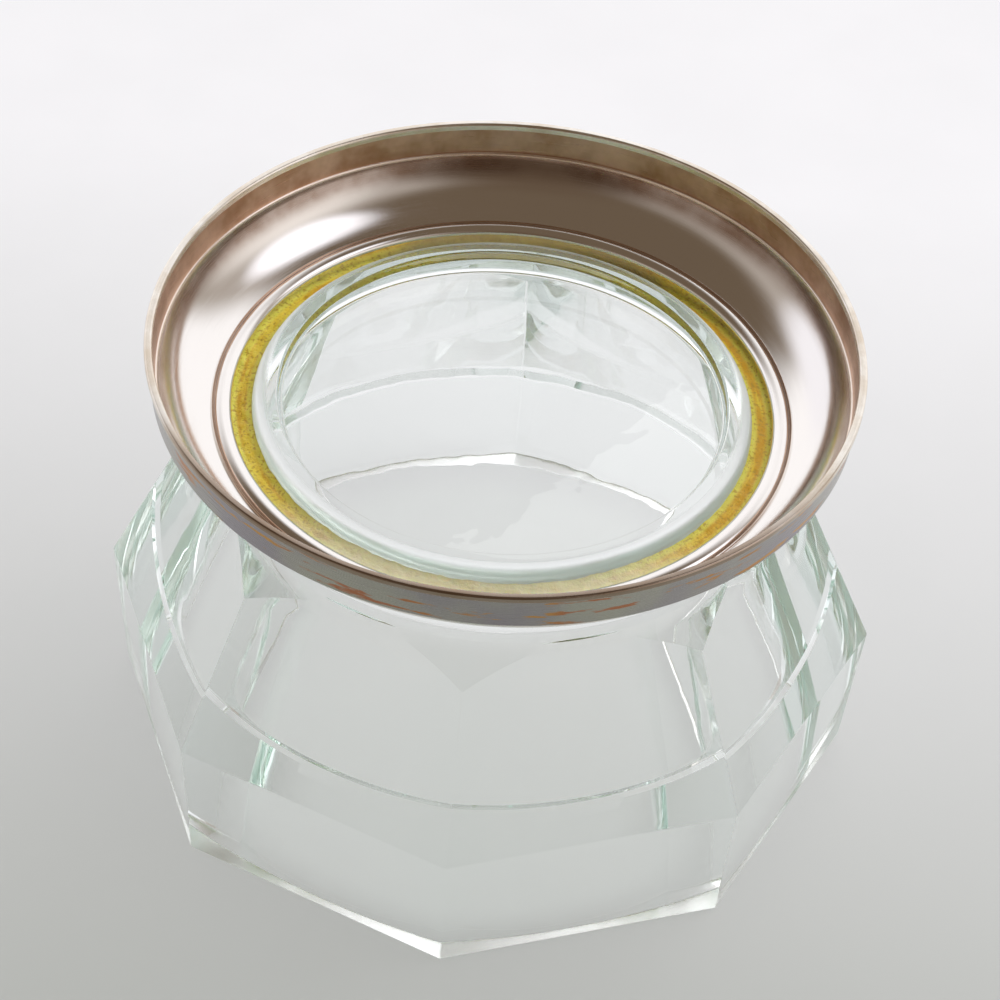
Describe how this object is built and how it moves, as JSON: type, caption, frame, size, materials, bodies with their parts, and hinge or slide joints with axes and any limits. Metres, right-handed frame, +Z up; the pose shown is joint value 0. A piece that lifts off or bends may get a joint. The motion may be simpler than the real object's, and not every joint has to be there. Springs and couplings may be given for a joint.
{
  "type": "footed bowl",
  "caption": "Octagonal faceted clear-glass bowl with a round hollow, cemented by its boss into a domed silver-plated foot, standing upside down on its rim.",
  "frame": {"origin": "centre of the octagonal rim, on the plane that the rim stands on", "axes": "+Z up along the axis of the bowl, from the rim to the foot; corners of the octagon on the X and Y axes"},
  "size_m": [0.144, 0.144, 0.0896],
  "materials": {
    "clear_glass": "clear pressed glass, polished, with a faint green tint in the thick parts",
    "silver_plate": "polished silver plate over brass, with warm tarnish",
    "tarnished_plate": "brushed silver plate over brass, worn through to copper tones and brown with tarnish",
    "cement": "old amber cement, grainy and uneven"
  },
  "bodies": {
    "root": {"glass_bowl": "clear_glass", "foot_dome": "silver_plate", "foot_band": "tarnished_plate", "cement_ring": "cement"}
  },
  "joints": []
}
